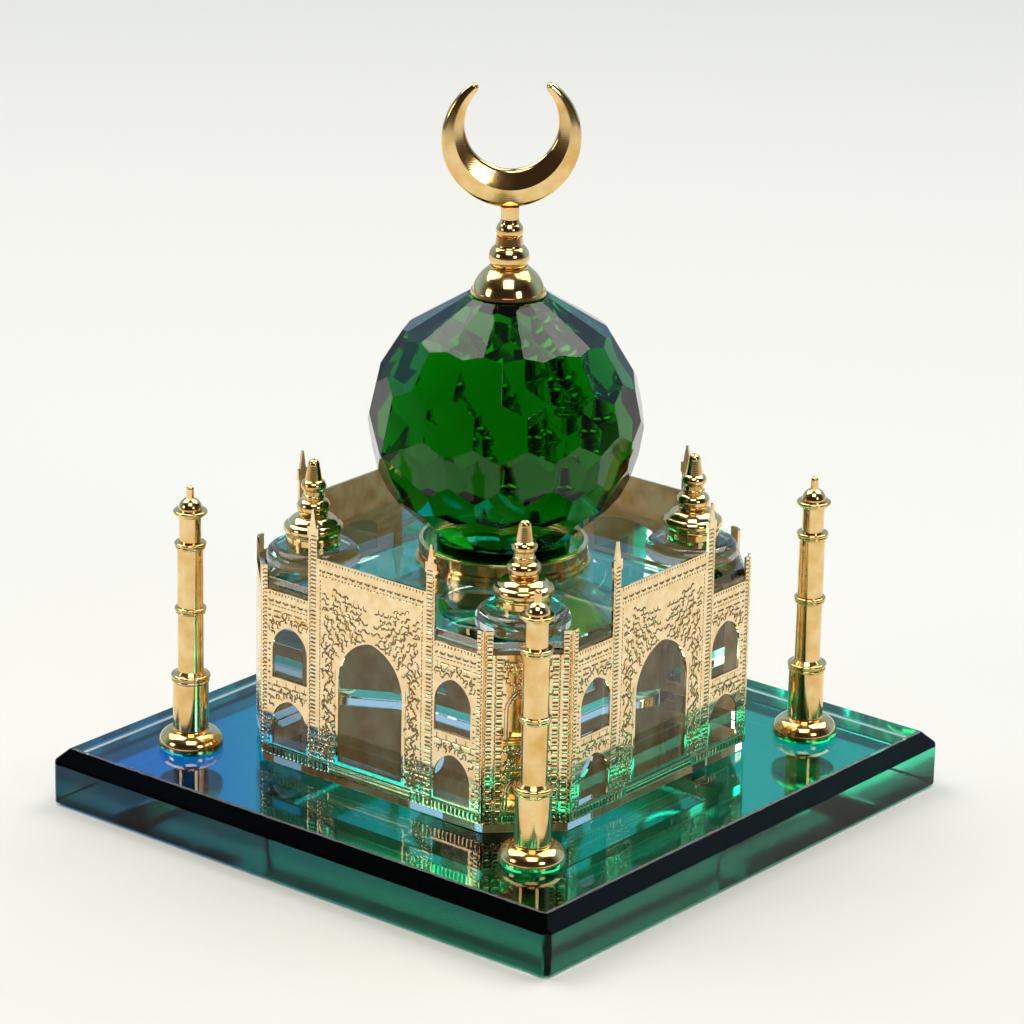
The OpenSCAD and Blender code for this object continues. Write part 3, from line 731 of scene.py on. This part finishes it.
def etchedPlate(halfWidth, low, high, field, pattern):
    # a grid over the sheet's face: cells whose middle lies in the outline stay, border points move onto
    # the outline along its slope, and etched points sink by the etch depth. A wall and a back close it
    cell, probe, least = sheet["cell"], 0.01, 0.25
    columns = int(round(2 * halfWidth / cell)) + 5
    rows = int(round((high - low) / cell)) + 5
    s, h = np.meshgrid((np.arange(columns) - (columns - 1) / 2) * cell, low + (np.arange(rows) - 2) * cell,
                       indexing="ij")
    keep = field((s[:-1, :-1] + s[1:, 1:]) / 2, (h[:-1, :-1] + h[1:, 1:]) / 2) < 0
    etch = pattern(s, h)
    index = np.arange(columns * rows).reshape(columns, rows)
    quads = np.stack([index[:-1, :-1], index[1:, :-1], index[1:, 1:], index[:-1, 1:]], -1)[keep]
    uses = np.bincount(quads.ravel(), minlength=columns * rows).reshape(columns, rows)
    border = (uses > 0) & (uses < 4)
    for _ in range(3):
        value = field(s, h)
        slopeS = (field(s + probe, h) - field(s - probe, h)) / (2 * probe)
        slopeH = (field(s, h + probe) - field(s, h - probe)) / (2 * probe)
        move = np.where(border & (np.abs(value) < cell * 1.2), value, 0)
        move = move / np.maximum(slopeS ** 2 + slopeH ** 2, least)
        s, h = s - move * slopeS, h - move * slopeH
    used, quads = np.unique(quads.ravel(), return_inverse=True)
    quads = quads.reshape(-1, 4)
    s, h = s.ravel()[used], h.ravel()[used]
    etch = np.where(border.ravel()[used], 0, etch.ravel()[used])
    front = np.stack([s, -sheet["depth"] * etch, h], -1)
    # a border edge belongs to one quad only, and a wall follows it the other way, so it faces outwards
    edges = np.concatenate([quads[:, [a, (a + 1) % 4]] for a in range(4)])
    ends = np.sort(edges, 1)
    _, first, times = np.unique(ends[:, 0] * len(used) + ends[:, 1], return_index=True, return_counts=True)
    rim = edges[first[times == 1]]
    rimPoints, rimIndex = np.unique(rim.ravel(), return_inverse=True)
    rimIndex = rimIndex.reshape(-1, 2)
    back = front[rimPoints] - [0, sheet["thick"] + sheet["seal"], 0]
    wallIndex = rimIndex + len(used)
    walls = np.stack([rim[:, 1], rim[:, 0], wallIndex[:, 0], wallIndex[:, 1]], -1)
    bm = bmesh.new()
    corners = [bm.verts.new(p) for p in back]
    for a, b in rimIndex:
        bm.edges.new((corners[a], corners[b]))
    bmesh.ops.triangle_fill(bm, use_beauty=True, use_dissolve=False, edges=bm.edges)
    bm.verts.index_update()
    cover = np.array([[v.index for v in face.verts] for face in bm.faces])
    bm.free()
    a, b, c = back[cover[:, 0]], back[cover[:, 1]], back[cover[:, 2]]
    facing = np.cross(b - a, c - a)[:, 1]
    cover = np.where(facing[:, None] < 0, cover[:, ::-1], cover) + len(used)
    return np.vstack([front, back]), quads, walls, cover, np.concatenate([etch, np.zeros(len(back))])


def standPlate(name, plate, distance, turn, node):
    # stands a sheet's width, depth and height on a face that lies at that distance from the axis
    verts, quads, walls, cover, etch = plate
    stood = np.stack([verts[:, 0], -(distance + sheet["thick"] + verts[:, 1]), verts[:, 2] + baseTop], -1)
    faces = quads.tolist() + walls.tolist() + cover.tolist()
    piece = meshObject(name, turnXY(stood, turn), faces, [sheetFace, sheetBack], sheet["crease"])
    slotIndex = np.zeros(len(faces), np.int32)
    slotIndex[len(quads) + len(walls):] = 1
    piece.data.polygons.foreach_set("material_index", slotIndex)
    piece.data.attributes.new("etch", "FLOAT", "POINT").data.foreach_set("value", etch.astype(np.float32))
    standFor(piece, node)


plate = etchedPlate(facade["half"], facade["foot"], facade["needle"], facadeField, facadeEtch)
for side, turn in facadeTurns.items():
    standPlate("etched_facade_" + side, plate, hallHalf, turn, "facade_" + side)
plate = etchedPlate(cornerSheet["half"], cornerSheet["foot"], cornerSheet["post"], cornerField, cornerEtch)
cornerDistance = (hallHalf + facade["half"]) / math.sqrt(2)
for corner, turn in cornerTurns.items():
    standPlate("etched_corner_" + corner, plate, cornerDistance, turn + 45, "corner_panel_" + corner)
print("etched sheets made, %d faces on a corner sheet" % len(plate[1]))

# a plain pale floor; its size is in metres
ground = {"size": 8, "colour": "E2E0DB", "rough": 0.6}
bpy.ops.mesh.primitive_plane_add(size=ground["size"])
floor = bpy.context.object
floor.name = "floor"
floorMaterial, tree, shader, out, coords = newMaterial("pale_matt_floor")
feed(tree, shader, Base_Color=linear(ground["colour"]), Roughness=ground["rough"])
floor.data.materials.append(floorMaterial)

# studio air: a bright wall behind the model, a dark room before it and a grey ceiling over both, so that
# the mirror film, the gold and the cut glass each have something to show. Heights run from 0 to 1
room = {"wall": [(0.0, "B8CCD8"), (0.2, "96C8F0"), (0.5, "A6C4D8"), (0.75, "50565A"), (1.0, "63686B")],
        "front": [(0.0, "5E564C"), (0.12, "3C3229"), (0.6, "2C2722"), (0.8, "4C4A46"), (1.0, "63686B")],
        "blend": (-0.25, 0.5), "strength": 1.0}
world = bpy.data.worlds.new("studio")
bpy.context.scene.world = world
world.use_nodes = True
tree = world.node_tree
direction = add(tree, "ShaderNodeTexCoord").outputs["Generated"]
heights = add(tree, "ShaderNodeSeparateXYZ", Vector=direction)
away = add(tree, "ShaderNodeVectorMath", {"operation": "DOT_PRODUCT"}, i0=direction,
           i1=(-math.sin(azimuth), math.cos(azimuth), 0))
behind = add(tree, "ShaderNodeMapRange", {"interpolation_type": "SMOOTHSTEP"}, Value=away.outputs["Value"],
             From_Min=room["blend"][0], From_Max=room["blend"][1])
wall = add(tree, "ShaderNodeValToRGB", {"stops": room["wall"]}, Fac=heights.outputs["Z"])
front = add(tree, "ShaderNodeValToRGB", {"stops": room["front"]}, Fac=heights.outputs["Z"])
air = add(tree, "ShaderNodeMix", {"data_type": "RGBA"}, i0=behind.outputs["Result"],
          i6=front.outputs["Color"], i7=wall.outputs["Color"])
feed(tree, tree.nodes["Background"], Color=air.outputs[2], Strength=room["strength"])

# places and sizes in metres, power in watts; every lamp points at the model's middle, aim above the floor
aim = 0.05
lights = {
    "topLeft": {"place": (-0.59, -0.07, 0.95), "size": 0.74, "power": 7.2, "colour": "FFFDF8"},
    "topRight": {"place": (0.19, 0.56, 0.95), "size": 0.74, "power": 7.2, "colour": "FFFDF8"},
    "front": {"place": (0.34, -0.42, 0.9), "size": 0.5, "power": 3.2, "colour": "FFFBF2"},
    "key": {"place": (-0.55, -0.95, 0.42), "size": 0.3, "power": 1.6, "colour": "FFF6EA"},
    "side": {"place": (1.05, -0.3, 0.5), "size": 0.3, "power": 1.4, "colour": "FFFFFF"}}
for name, lamp in lights.items():
    data = bpy.data.lights.new(name, "AREA")
    data.size, data.energy = lamp["size"], lamp["power"]
    data.color = linear(lamp["colour"])[:3]
    holder = bpy.data.objects.new(name, data)
    holder.location = lamp["place"]
    holder.rotation_mode = "QUATERNION"
    holder.rotation_quaternion = (Vector((0, 0, aim)) - holder.location).to_track_quat("-Z", "Y")
    bpy.context.scene.collection.objects.link(holder)
bpy.context.scene.view_settings.view_transform = "Standard"
print("stage set")
